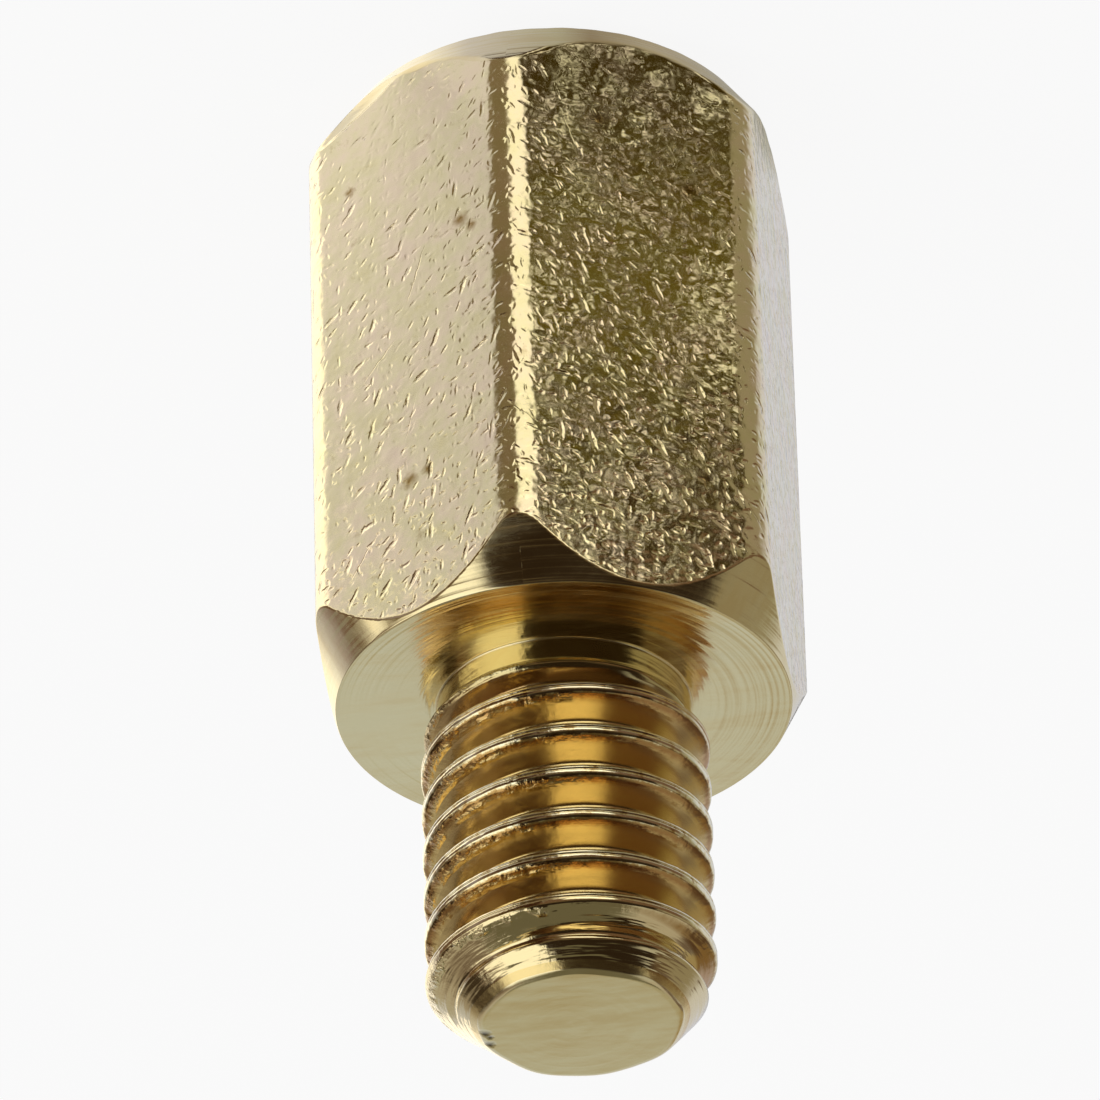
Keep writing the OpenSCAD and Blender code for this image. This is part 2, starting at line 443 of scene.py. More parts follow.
def turned_blank(body, stud):
    """Mesh of the blank before its threads are cut: one closed skin of quads, a UV map
    in mm and an attribute that says where a thread is cut."""
    azimuths = column_azimuths(body)
    rows, partner = blank_rows(body, stud, azimuths)
    columns, count = len(azimuths), len(rows)
    radius, height, zone = (np.array([row[part] for row in rows]) for part in range(3))
    az = np.radians(azimuths)
    places = np.stack([radius * np.cos(az), radius * np.sin(az), height], -1)
    keys = np.round(places * 1e5).astype(np.int64).reshape(-1, 3)
    _, first, same = np.unique(keys, axis=0, return_index=True, return_inverse=True)
    ids = same.reshape(count, columns)
    verts = places.reshape(-1, 3)[first] * MM

    # distances for the UV map: round the bar, and along the profile
    outline, _ = hexagon_radius(body, az)
    flat = np.stack([outline * np.cos(az), outline * np.sin(az)], -1)
    around = np.linalg.norm(np.roll(flat, -1, 0) - flat, axis=1)
    around = np.concatenate([[0.0], np.cumsum(around)])
    seam = int(np.argmin(np.abs(azimuths - 90.0)))
    middle = columns // 2
    step = np.hypot(np.diff(radius[:, middle]), np.diff(height[:, middle]))
    along = np.concatenate([[0.0], np.cumsum(step)])
    faces, zones, uvs = [], [], []
    for i in range(count - 1):
        for j in range(columns):
            k = (j + 1) % columns
            near, far = (partner[i], partner[i + 1]) if k == 0 else (i, i + 1)
            loop = [ids[i, j], ids[near, k], ids[far, k], ids[i + 1, j]]
            keep = [n for n in range(4) if loop[n] != loop[n - 1]]
            if len({loop[n] for n in keep}) < 3:
                continue
            left, right = around[j : j + 2] + (around[-1] if j < seam else 0.0)
            if ZONE_FLATS in (zone[i], zone[i + 1]):
                heights = height[i, j], height[i, k], height[i + 1, k], height[i + 1, j]
            else:
                heights = along[i], along[i], along[i + 1], along[i + 1]
            corner = list(zip((left, right, right, left), heights))
            faces.append([loop[n] for n in keep])
            uvs.extend(corner[n] for n in keep)
            zones.append(zone[i])

    mesh = bpy.data.meshes.new("standoff_blank")
    mesh.from_pydata(verts.tolist(), [], faces)
    layer = mesh.uv_layers.new(name="surface_mm")
    layer.data.foreach_set("uv", np.array(uvs, dtype=np.float32).ravel())
    mesh.attributes.new("zone", "INT", "FACE").data.foreach_set("value", zones)
    cut = np.zeros(len(verts), dtype=np.int32)
    for i in range(count):
        if zone[i] in (ZONE_BORE, ZONE_THREAD):
            cut[ids[i]] = CUT_BORE if zone[i] == ZONE_BORE else CUT_STUD
    mesh.attributes.new("cut", "INT", "POINT").data.foreach_set("value", cut)
    mesh.update()
    return mesh


# --- the thread cutter ---

BEVEL_SLOPE = math.tan(math.radians(36))  # fall of the worn crest edge per length
FLANK_SLOPE = math.tan(math.radians(30))  # flanks at 60 degrees to each other
ROUNDING = 0.016  # mm, of the edges of crest and root
TAP_DEPTH, TAP_SEAM, TAP_BURR, TAP_RUN_OUT = 0.28, 0.02, 0.01, 0.8  # mm, of the bore
DIE_DEPTH, DIE_BEVEL, DIE_BURR = 0.303, 0.006, 0.012  # mm, of the stud
GROOVE_BELOW = 0.12  # mm from the neck's radius to the bottom of the thread's groove
TAP_SEED, DIE_SEED = 3, 5


def thread_cutter():
    """Geometry Nodes tree that cuts a screw thread into a turned surface. It follows
    the helix of the stud's solid. The same tree cuts a stud's thread (side +1) and a
    bore's thread (side -1)."""
    tree = bpy.data.node_groups.new("thread_cutter", "GeometryNodeTree")
    sizes = (
        "Side", "Crest Radius", "Plain Radius", "Run-out Height", "Pitch", "Crest Width",
        "Depth", "Start Height", "Turn", "Rounding", "Seam Shift", "Seam Width",
        "Seam Depth", "Bevel", "Burr",
    )
    sockets = [("Geometry", "Geometry"), *((name, "Float") for name in sizes)]
    sockets += [("Zone", "Int"), ("Seed", "Int"), ("Material", "Material")]
    for name, kind in sockets:
        tree.interface.new_socket(name, in_out="INPUT", socket_type="NodeSocket" + kind)
    tree.interface.new_socket("Geometry", in_out="OUTPUT", socket_type="NodeSocketGeometry")
    node = partial(add_node, tree)
    entry = node("NodeGroupInput").node.outputs
    side, pitch, rounding = entry["Side"], entry["Pitch"], entry["Rounding"]
    place = node("GeometryNodeInputPosition")
    x, y, z, flat, radius = place_parts(node, place)

    # how far a point is from the middle of the nearest crest, along the axis
    angle = node(SUBTRACT, node(ARCTAN2, y, x), entry["Turn"])
    turns = node(DIVIDE, angle, 2 * math.pi)
    half = node(MULTIPLY, entry["Crest Width"], 0.5)
    rise = node(SUBTRACT, node(SUBTRACT, z, entry["Start Height"]), half)
    phase = node(SUBTRACT, node(DIVIDE, rise, pitch), turns)
    whole = node("ShaderNodeMath:ROUND", phase)
    signed = node(MULTIPLY, node(SUBTRACT, phase, whole), pitch)
    off = node(ABSOLUTE, signed)

    # the flank; the crest's edge is worn to a narrow bevel before it starts
    beside = node(SUBTRACT, off, half)
    flank = node(DIVIDE, beside, FLANK_SLOPE)
    bevel = node(MULTIPLY, node(ADD, beside, entry["Bevel"]), BEVEL_SLOPE)
    flank = node(MAXIMUM, flank, bevel)
    flank = node("ShaderNodeMath:SMOOTH_MAX", flank, 0.0, rounding)
    cut = node("ShaderNodeMath:SMOOTH_MIN", flank, entry["Depth"], rounding)
    # the crest: a fine seam along it, and a torn, frayed edge
    seam = node(ABSOLUTE, node(SUBTRACT, signed, entry["Seam Shift"]))
    seam = node(RANGE, node(DIVIDE, seam, entry["Seam Width"]), 0.0, 1.0, 1.0, 0.0)
    seam = node(MULTIPLY, seam, entry["Seam Depth"])
    fray = node(NOISE, place, entry["Seed"], 9 * PER_MM, 2.0, noise_dimensions="4D")
    fray = node(MULTIPLY, node(SUBTRACT, fray, 0.42), entry["Burr"])
    fray = node(MULTIPLY, fray, node(RANGE, cut, 0.02 * MM, 0.12 * MM, 1.0, 0.2))
    cut = node(MAXIMUM, node(ADD, node(ADD, cut, fray), seam), 0.0)

    # the thread runs out into the plain neck or wall
    own = node(MULTIPLY, radius, side)
    target = node(SUBTRACT, node(MULTIPLY, entry["Crest Radius"], side), cut)
    past = node(MULTIPLY, node(SUBTRACT, z, entry["Run-out Height"]), side)
    past = node(MAXIMUM, past, 0.0)
    limit = node(SUBTRACT, node(MULTIPLY, entry["Plain Radius"], side), past)
    shape = node(MULTIPLY, node(MINIMUM, own, node(MAXIMUM, target, limit)), side)
    scaled = node(SCALE, flat, {"Scale": node(DIVIDE, shape, radius)})
    moved = node(SHIFT, scaled, node(JOIN, {2: z}))

    kind = node("GeometryNodeInputNamedAttribute", {"Name": "cut"}, data_type="INT")
    chosen = node("FunctionNodeCompare:EQUAL", {2: kind, 3: entry["Zone"]}, data_type="INT")
    solid = {"Geometry": entry["Geometry"], "Selection": chosen, "Position": moved}
    solid = node("GeometryNodeSetPosition", solid)
    solid = node("GeometryNodeRealizeInstances", solid)
    solid = {"Geometry": solid, "Selection": chosen, "Material": entry["Material"]}
    node("NodeGroupOutput", node("GeometryNodeSetMaterial", solid))
    return tree


def cut_threads(obj, tree, cuts):
    """Runs the thread cutter once for each cut and leaves a plain mesh."""
    sockets = {
        item.name: item.identifier
        for item in tree.interface.items_tree
        if item.item_type == "SOCKET" and item.in_out == "INPUT"
    }
    for values in cuts:
        modifier = obj.modifiers.new(tree.name, "NODES")
        modifier.node_group = tree
        for key, value in values.items():
            modifier[sockets[key]] = value
    graph = bpy.context.evaluated_depsgraph_get()
    result = bpy.data.meshes.new_from_object(obj.evaluated_get(graph))
    obj.modifiers.clear()
    obj.data = result


# --- materials ---

# Marks as (x, y, z, radius) in mm.
RUST_SPOTS = (
    (1.19, -2.03, 5.37, 0.13), (0.98, -2.15, 5.33, 0.09), (0.55, -2.40, 2.49, 0.12),
    (0.42, -2.47, 2.62, 0.09), (1.82, -1.66, 1.45, 0.09), (-1.74, -1.71, 1.98, 0.16),
    (-0.90, -2.19, 1.31, 0.14), (-1.78, -1.68, 5.56, 0.10),
)
FACE_PITS = (
    (1.77, -1.69, 0.45, 0.06), (1.88, -1.62, 0.47, 0.04), (0.89, -0.04, 10.8, 0.08),
    (0.85, 0.03, 10.8, 0.055), (0.88, 0.18, 10.8, 0.07), (-0.52, 0.94, 10.8, 0.04),
)
CREST_PITS = (
    (-1.43, -0.37, 8.30, 0.07), (-1.42, -0.30, 8.36, 0.05), (-1.436, -0.34, 8.90, 0.06),
)
PIT_COLOUR = linear("#4A3B28")
NICK_LEAN = math.radians(48)  # of the long nicks, from the bar's axis
NICK_LAYERS = (  # spacing, (length, width), spread, share, shift, depth, lengths in mm
    (0.125, (0.115, 0.062), 3.1, 0.85, 0.0, 0.0072),
    (0.22, (0.17, 0.052), 0.8, 0.7, 3.1, 0.0070),
    (0.40, (0.29, 0.076), 0.7, 0.7, 7.7, 0.0125),
    (1.1, (0.9, 0.020), 0.5, 0.5, 5.3, 0.0030),
)
# What a radian round the axis counts for in the patterns of tool lines. It is short, so
# the lines run far round.
FACE_TURN, THREAD_TURN = 0.03 * MM, 0.12 * MM


def nick_field(node, place, spacing, size, lean, spread, share, shift):
    """Height of small struck nicks, 0 on the plain surface and 1 at their bottom.
    Each cell of a pattern holds one nick. Sizes are in mm, angles in radians."""
    moved = node(SHIFT, place, (shift, shift * 0.7, 0))
    dice, middle = node(
        "ShaderNodeTexVoronoi",
        {"Vector": moved, "Scale": 1 / spacing, "Randomness": 1.0},
        out=slice(1, 3),
        voronoi_dimensions="2D",
    )
    dice = node("ShaderNodeSeparateColor", dice, out=EVERY)
    angle = node(ADD, node(RANGE, dice[0], 0.0, 1.0, -spread, spread), lean)
    turned = node(
        "ShaderNodeVectorRotate",
        {"Vector": node(APART, moved, middle), "Angle": angle},
        rotation_type="Z_AXIS",
        invert=True,
    )
    stretch = (2 / size[0], 2 / size[1], 0)
    far = node(LENGTH, node("ShaderNodeVectorMath:MULTIPLY", turned, stretch), out="Value")
    depth = node(RANGE, far, 0.0, 1.0, 1.0, 0.0, interpolation_type="SMOOTHSTEP")
    kept = node("ShaderNodeMath:POWER", node(RANGE, dice[1], 1 - share, 1.0, 0.0, 1.0), 0.6)
    return node(MULTIPLY, depth, kept)


def spots(node, place, marks, stray):
    """1 in the middle of each mark, 0 outside all of them. Their outlines stray by so
    many mm."""
    ragged = node(APART, node(NOISE, place, 0.0, 14 * PER_MM, out="Color"), (0.5, 0.5, 0.5))
    moved = node(SHIFT, place, node(SCALE, ragged, {"Scale": stray * MM}))
    total = 0.0
    for *middle, size in marks:
        far = node(DISTANCE, moved, [part * MM for part in middle], out="Value")
        total = node(MAXIMUM, total, node(RANGE, far, 0.0, size * MM, 1.0, 0.0))
    return total


def brass_material(name, brass):
    """A new node material with a metal shader. Returns it, add_node for its tree, and
    the place of a point on the object."""
    material = bpy.data.materials.new(name)
    material.use_nodes = True
    inputs = material.node_tree.nodes["Principled BSDF"].inputs
    inputs["Metallic"].default_value = 1.0
    inputs["Base Color"].default_value = (*brass, 1)
    node = partial(add_node, material.node_tree)
    return material, node, node("ShaderNodeTexCoord", out="Object")


def finished(material, colour, roughness, height):
    """Gives the shader of a material its colour, its roughness and a relief in mm."""
    tree = material.node_tree
    relief = {"Height": height, "Distance": MM, "Strength": 1.0}
    bump = add_node(tree, "ShaderNodeBump", relief)
    inputs = tree.nodes["Principled BSDF"].inputs
    for socket, value in (("Base Color", colour), ("Roughness", roughness), ("Normal", bump)):
        tree.links.new(value, inputs[socket])
    return material


def drawn_flats(brass):
    """Drawn brass, tumbled in bulk: fine nicks and scuffs all over a satin skin. The
    scuffed spots are rougher, so they glint where the skin is dark and dull it where
    it is bright. A thin uneven film gives warm and green patches. Patterns on the UV
    map have their scale in cells per mm."""
    material, node, place = brass_material("drawn_brass_flats", brass)
    uv = node("ShaderNodeUVMap", uv_map="surface_mm")
    x = node(SPLIT, place)
    lean = node(MULTIPLY, node("ShaderNodeMath:SIGN", x), NICK_LEAN)
    sway = node(APART, node(NOISE, uv, 0.0, 9.0, 2.0, out="Color"), (0.5, 0.5, 0.5))
    bent = node(SHIFT, uv, node(SCALE, sway, {"Scale": 0.05}))
    # struck harder on the -X side, where small pits cover the flats
    hard = node(RANGE, x, -0.3 * MM, 0.3 * MM, 1.0, 0.6)
    relief, scuffs = None, None
    for spacing, size, spread, share, shift, depth in NICK_LAYERS:
        field = nick_field(node, bent, spacing, size, lean, spread, share, shift)
        pressed = node(MULTIPLY, field, depth)
        if relief is None:
            relief, scuffs = node(MULTIPLY, pressed, hard), node(MULTIPLY, field, hard)
            continue
        relief, scuffs = node(ADD, relief, pressed), node(MAXIMUM, scuffs, field)
    grain = node(NOISE, uv, 0.0, 6.5, 1.5, 0.4)
    grain = node(MULTIPLY, grain, node(MULTIPLY, hard, 0.016))
    height = node(SUBTRACT, grain, relief)

    # scuffs and patches of film in the roughness
    satin = node(RANGE, node(NOISE, uv, 0.0, 2.3, 5.0, 0.65), 0.35, 0.65, 0.10, 0.19)
    speck = node(RANGE, node(NOISE, uv, 0.0, 21.0, 3.0, 0.7), 0.54, 0.68, 0.0, 0.8)
    rough = node(MULTIPLY_ADD, node(MAXIMUM, scuffs, speck), 0.16, satin)

    # warm and green patches in the colour, and a few small rusty stains
    film = node("ShaderNodeValToRGB", node(NOISE, uv, 0.0, 1.9, 6.0, 0.7))
    set_stops(
        film.node.color_ramp,
        (0.32, linear("#E8DAA2")),
        (0.44, linear("#EDDFAC")),
        (0.56, linear("#F2DFB4")),
        (0.70, linear("#F1DAB6")),
    )
    stain = node(RANGE, node(NOISE, uv, 0.0, 2.9, 6.0, 0.65), 0.62, 0.72, 0.0, 0.4)
    stain = node(MAXIMUM, stain, spots(node, place, RUST_SPOTS, 0.12))
    colour = node(MIX, {"Factor": stain, 6: film, 7: linear("#8F6C24")}, **MIX_COLOURS)
    return finished(material, colour, rough, height)


def turned_faces(brass, tip_height):
    """Turned brass: fine concentric tool lines left by a lathe, boldest near the rims
    of the two flat rings and finest on the stud's tip, and dull smears from handling.
    The lines are drawn 0.03 to 0.1 mm apart, coarser than they are, so that they show."""
    material, node, place = brass_material("turned_brass_faces", brass)
    x, y, z, _, radius = place_parts(node, place)
    around = node(MULTIPLY, node(ARCTAN2, x, y), FACE_TURN)
    lines = node(NOISE, node(JOIN, radius, z, around), 0.0, 9 * PER_MM, 2.0, 0.6)
    facing = node("ShaderNodeNewGeometry", out="True Normal")
    level = node(ABSOLUTE, node(SPLIT, facing, out="Z"))
    bold = node(RANGE, level, 0.9, 0.99, 0.0080, 0.0095)
    # the stud's tip was faced with a finer cut
    fine = node(RANGE, z, tip_height - 1.5 * MM, tip_height - 0.5 * MM, 1.0, 0.15)
    outer = node(RANGE, radius, 1.8 * MM, 2.25 * MM, 1.0, 1.9)
    outer = node(MIX, {0: level, 2: 1.0, 3: outer})
    lines = node(MULTIPLY, lines, node(MULTIPLY, node(MULTIPLY, bold, fine), outer))
    grain = node(MULTIPLY, node(NOISE, place, 0.0, 7 * PER_MM, 3.0, 0.6), 0.0008)
    # smears, four times as long as they are wide
    turned = {"Vector": place, "Rotation": (0, 0, math.radians(35)), "Scale": (1, 4, 1)}
    smear = node(NOISE, node("ShaderNodeMapping", turned), 0.0, 1.2 * PER_MM, 4.0, 0.6)
    dull = node(RANGE, smear, 0.4, 0.65, 0.11, 0.24)
    tint = node(RANGE, smear, 0.35, 0.65)
    tint = {"Factor": tint, 6: linear("#E9D5A2"), 7: linear("#F2E4B6")}
    # pits at the tip's rim and in the dent
    pits = spots(node, place, FACE_PITS, 0.06)
    colour = {"Factor": pits, 6: node(MIX, tint, **MIX_COLOURS), 7: PIT_COLOUR}
    height = node(MULTIPLY_ADD, pits, -0.012, node(ADD, lines, grain))
    return finished(material, node(MIX, colour, **MIX_COLOURS), dull, height)


def cut_thread(brass, name, groove_radius, crest_radius, plain_height, end_height):
    """Thread cut with a die or a tap: bright torn crests, fine lines along the helix, and a darker
    brown film that stays in the groove and also paints its shade, darkest just under the crests.
    The lines and the torn grain are drawn 0.06 to 0.1 mm wide, coarser than they are, so that they
    show."""
    material, node, place = brass_material(name, brass)
    x, y, z, _, radius = place_parts(node, place)
    below = node(ABSOLUTE, node(SUBTRACT, radius, crest_radius))
    deep = node(RANGE, below, 0.0, abs(crest_radius - groove_radius))
    threaded = node(RANGE, z, plain_height, plain_height + 0.15 * MM, 0.0, 1.0)
    # the film, which also paints the shade in the groove: none on the crest, dark brown just under
    # it, thinner in the groove, and worn off the last turn
    mottle = node(NOISE, place, 0.0, 9 * PER_MM, 5.0, 0.7)
    depth = node(ADD, deep, node(RANGE, mottle, 0.3, 0.7, -0.06, 0.06))
    depth = node(MULTIPLY, depth, threaded)
    # where the film and its painted shade are kept: not on the last turn
    film_and_shade_share = node(RANGE, z, end_height - 0.8 * MM, end_height - 0.55 * MM, 1.0, 0.0)
    depth = node(MULTIPLY_ADD, depth, film_and_shade_share, node(MULTIPLY_ADD, film_and_shade_share, -0.035, 0.035))
    film = node("ShaderNodeValToRGB", depth)
    set_stops(
        film.node.color_ramp,
        (0.0, linear("#F4EAC6")),
        (0.03, (*brass, 1)),
        (0.07, linear("#B6945C")),
        (0.16, linear("#B68C55")),
        (0.30, linear("#DDBF7E")),
        (0.42, linear("#E6CE90")),
    )
    # browner near the run-out; the plain neck has an even golden film, darker than bare brass,
    # that also paints shade to dim the key's highlight on it
    browner_near_run_out = node(RANGE, z, plain_height + 0.1 * MM, plain_height + 0.5 * MM, 0.65, 0.0)
    browner_near_run_out = node(MULTIPLY, browner_near_run_out, threaded)
    neck = node(SUBTRACT, 1.0, threaded)
    pits = spots(node, place, CREST_PITS, 0.04)
    colour = film
    layers = ((browner_near_run_out, linear("#B78B62")), (neck, linear("#D8C995")), (pits, PIT_COLOUR))
    for share, over in layers:
        colour = node(MIX, {"Factor": share, 6: colour, 7: over}, **MIX_COLOURS)
    # the film in the groove is duller than the bare crests and the neck
    dull = node(MULTIPLY, node(RANGE, deep, 0.08, 0.35, 0.0, 0.09), threaded)
    dull = node(ADD, node(MULTIPLY, dull, film_and_shade_share), 0.12)

    # lines along the helix: a pattern stretched round the stud, its seam at the back
    around = node(ARCTAN2, x, node(MULTIPLY, y, -1.0))
    lead = node(MULTIPLY_ADD, around, -0.5 * MM / (2 * math.pi), z)
    spun = node(JOIN, radius, lead, node(MULTIPLY, around, THREAD_TURN))
    lines = node(NOISE, spun, 0.0, 12 * PER_MM, 2.0, 0.5)
    # chatter: the tool skipped where it cut the last turn and the chamfer
    chatter = node(RANGE, z, end_height - 0.75 * MM, end_height - 0.5 * MM, 0.0, 0.015)
    chatter = node(ADD, chatter, node(RANGE, deep, 0.1, 0.4, 0.003, 0.0012))
    lines = node(MULTIPLY, lines, chatter)
    # torn, sparkling metal along the crests, in patches, and more on the +X side
    patch = node(NOISE, place, 0.0, 3.5 * PER_MM, 2.0)
    torn = node(RANGE, deep, 0.30, 0.42, 0.030, 0.0032)
    for share in (
        node(RANGE, deep, 0.04, 0.12, 0.15, 1.0),
        node(RANGE, x, -0.5 * MM, 0.1 * MM, 0.12, 1.0),
        node(RANGE, patch, 0.42, 0.6, 0.15, 1.1),
    ):
        torn = node(MULTIPLY, torn, share)
    grain = node(MULTIPLY, node(NOISE, place, 0.0, 17 * PER_MM, 3.0), torn)
    return finished(material, colour, dull, node(ADD, lines, grain))


FLOOR_GLOW = 0.90  # how white the eye and the brass see the floor
WORLD_LIGHT, WORLD_SEEN = 0.6, 0.40  # strength as light, and what is added to the eye


def bare_nodes(owner):
    """Empties the node tree of a new material or world; returns add_node for it."""
    owner.use_nodes = True
    owner.node_tree.nodes.clear()
    return partial(add_node, owner.node_tree)


def seen_rays(node):
    """1 for rays from the camera, in reflections and through glass, 0 for the rest."""
    path = node("ShaderNodeLightPath").node.outputs
    seen = node(MAXIMUM, path["Is Camera Ray"], path["Is Glossy Ray"])
    return node(MAXIMUM, seen, path["Is Transmission Ray"])


def toned_card():
    """Light card that shines with the tones of its mesh."""
    material = bpy.data.materials.new("toned_light_card")
    node = bare_nodes(material)
    tones = node("ShaderNodeVertexColor", layer_name="tone")
    light = node("ShaderNodeEmission", {"Color": tones, "Strength": 1.0})
    node("ShaderNodeOutputMaterial", {"Surface": light})
    return material


def floor_paper():
    """Matt white paper: pale to the eye and in the brass, and it keeps the shadow."""
    material = bpy.data.materials.new("white_paper_floor")
    node = bare_nodes(material)
    share = node(MULTIPLY, seen_rays(node), FLOOR_GLOW)
    paper = node("ShaderNodeBsdfDiffuse", {"Color": linear("#E6E6E6")})
    light = node("ShaderNodeEmission", {"Color": linear("#FFFFFF"), "Strength": 1.0})
    both = node("ShaderNodeMixShader", share, paper, light)
    node("ShaderNodeOutputMaterial", {"Surface": both})
    return material


# --- the standoff ---


def new_object(name, data):
    """Links a mesh, lamp or camera to the scene as an object."""
    obj = bpy.data.objects.new(name, data)
    bpy.context.scene.collection.objects.link(obj)
    return obj


class STANDOFF_OT_body(bpy.types.Operator):
    """Turn the standoff and cut its two threads"""

    bl_idname = "standoff.body"
    bl_label = "Turn the standoff"
    bl_options = {"REGISTER", "UNDO"}

    def execute(self, context):
        scene = context.scene
        body, stud, brass = scene.standoff_body, scene.standoff_stud, scene.standoff_finish.brass
        run_out = body.body_length + stud.neck_length
        tip = body.body_length + stud.stud_length
        mesh = turned_blank(body, stud)
        obj = new_object("hex_standoff", mesh)
        groove = stud.neck_radius - GROOVE_BELOW * MM
        thread = cut_thread(brass, "die_cut_brass_thread", groove, stud.crest_radius, run_out, tip)
        # the bore has no plain neck and no clean last turn: both heights lie outside it
        groove = body.bore_radius + TAP_DEPTH * MM
        bore = cut_thread(brass, "tapped_brass_bore", groove, body.bore_radius, -1 * MM, 1.0)
        for material in (bore, turned_faces(brass, tip), drawn_flats(brass), thread):
            mesh.materials.append(material)
        zones = np.zeros(len(mesh.polygons), dtype=np.int32)
        mesh.attributes["zone"].data.foreach_get("value", zones)
        mesh.polygons.foreach_set("material_index", zones)
        bore_end = body.bore_depth - TAP_RUN_OUT * MM
        inputs = (  # name, in the bore, on the stud
            ("Side", -1.0, 1.0),
            ("Crest Radius", body.bore_radius, stud.crest_radius),
            ("Plain Radius", body.bore_radius, stud.neck_radius),
            ("Run-out Height", bore_end, run_out),
            ("Pitch", stud.pitch, stud.pitch),
            ("Crest Width", stud.crest_width, stud.crest_width),
            ("Depth", TAP_DEPTH * MM, DIE_DEPTH * MM),
            ("Start Height", stud.thread_start, stud.thread_start),
            ("Turn", stud.thread_turn, stud.thread_turn),
            ("Rounding", ROUNDING * MM, ROUNDING * MM),
            ("Seam Shift", 0.0, stud.seam_shift),
            ("Seam Width", TAP_SEAM * MM, stud.seam_width),
            ("Seam Depth", 0.0, stud.seam_depth),
            ("Bevel", 0.0, DIE_BEVEL * MM),
            ("Burr", TAP_BURR * MM, DIE_BURR * MM),
            ("Zone", CUT_BORE, CUT_STUD),
            ("Seed", TAP_SEED, DIE_SEED),
            ("Material", bore, thread),
        )
        names, *columns = zip(*inputs)
        cuts = [dict(zip(names, column)) for column in columns]
        cut_threads(obj, thread_cutter(), cuts)
        obj.name = obj.data.name = "hex_standoff"
        obj.data.polygons.foreach_set("use_smooth", [True] * len(obj.data.polygons))
        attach(obj, "root")
        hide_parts("standoff")
        return {"FINISHED"}


# --- what the brass mirrors ---


def tone(code, strength=1.0):
    """Light of a card in linear values: an sRGB hex colour times a strength."""
    return tuple(channel * strength for channel in linear(code)[:3])


# Tones that the cards show to the brass.
SHINE = tone("#FFFEF8", 1.6)
GLOW = tone("#FFFDF1", 1.45)
BRIGHT = tone("#FFFDFB", 1.35)
KEY = tone("#FFFFFB", 1.3)
WHITE = tone("#FFFDF8", 1.2)
PALE = tone("#DADAE7")
COOL = tone("#D4D8E7")
CHALK = tone("#B8B8B3")
STONE = tone("#B6B1AA")
SHADE = tone("#ADADA6")
MOSS = tone("#A3A291")
TAUPE = tone("#9B9289")
MAUVE = tone("#9B9097")
SAND = tone("#958E7C")
GREY = tone("#908E8B")
BROWN = tone("#7C6F59")
CLAY = tone("#6F6158")
OLIVE = tone("#6C6959")
UMBER = tone("#6C5545")
RUST = tone("#61503F")
BLACK = tone("#4C4432")
SOOT = tone("#3D3327")
EMBER = tone("#3A2418")
DARK = tone("#2D2319")
BLACK_NEAR, BLACK_MIDDLE, BLACK_FAR = tone("#3C300D"), tone("#615724"), tone("#302407")
REAR_WARM, REAR_COOL, REAR_ABOVE = tone("#A29371"), tone("#C7CED6"), tone("#AFAC9B")

# Feet of the front ridges and of the middles of the flats between them, in mm.
FRONT_FOOT, LEFT_FOOT, RIGHT_FOOT = (0.0, -2.647), (2.293, -1.324), (-2.293, -1.324)
LEFT_MIDDLE, RIGHT_MIDDLE = (1.147, -1.985), (-1.147, -1.985)
UNDER_REACH, UNDER_SHARE = 2.62, 0.9  # mm, of the tones right under the part
PATCH_SPREAD, PATCH_NEAR, PATCH_FAR = 9, 2.42, 2.85  # degrees and mm, before the ridge
CREST_REACH, GROOVE_REACH = (13.6, 0.5), (16.4, 0.8)  # mm, from where and how softly
BEYOND_REACH, BEYOND_AZIMUTH, BEYOND_SPREAD = (23, 2), -113, 35  # mm and degrees
# Waves of the blotches: degrees across, run outwards, start and height.
BLOTCH_WAVES = ((27, 0.9, 0, 1), (23, -0.7, 2, 1), (math.inf, 0.55, 1, 0.7))


def seen_from(x, y, foot):
    """Azimuth in degrees and distance of a point on the floor, seen from a foot of the
    part."""
    off_x, off_y = x - foot[0], y - foot[1]
    return np.degrees(np.arctan2(off_y, off_x)), np.hypot(off_x, off_y)


def blend(value, *stops):
    """Tones between stops of (value, (red, green, blue)), straight from one to the next."""
    places = [place for place, _ in stops]
    return np.stack(
        [np.interp(value, places, [colour[k] for _, colour in stops]) for k in range(3)], -1
    )


def over(under, tones, share):
    """Tones laid over others by a share from 0 to 1."""
    share = share[..., None]
    return under * (1 - share) + np.array(tones) * share


def fade_in(value, start, run):
    """0 up to a start, then rising to 1 over a run."""
    return np.clip((value - start) / run, 0, 1)


def blotches(x, y):
    """Tones of the black card before the right-hand flat: light blotches that look
    equally large from the flat however far out they lie."""
    turn, reach = seen_from(x, y, RIGHT_MIDDLE)
    out = np.log(np.maximum(reach, 0.05))
    waves = sum(
        height * np.sin(2 * np.pi * (turn / across + out / along) + start)
        for across, along, start, height in BLOTCH_WAVES
    )
    bar = np.interp(reach, [2, 5, 9], [1.1, 1.25, 1.6])
    card = blend(reach, (1.5, BLACK_NEAR), (5.0, BLACK_MIDDLE), (9.0, BLACK_FAR))
    return over(card, WHITE, 0.9 * fade_in(waves, bar, 0.5))


def under_tone(azimuth):
    """Tones close under the part, which its lower chamfer mirrors: dark before the
    front ridge, light towards the left."""
    return UNDER_SHARE * blend(
        azimuth,
        (-180, SHADE), (-130, STONE), (-112, TAUPE), (-103, CHALK), (-77, PALE),
        (-62, WHITE), (-45, BRIGHT), (-12, BRIGHT), (5, SHADE), (180, SHADE),
    )


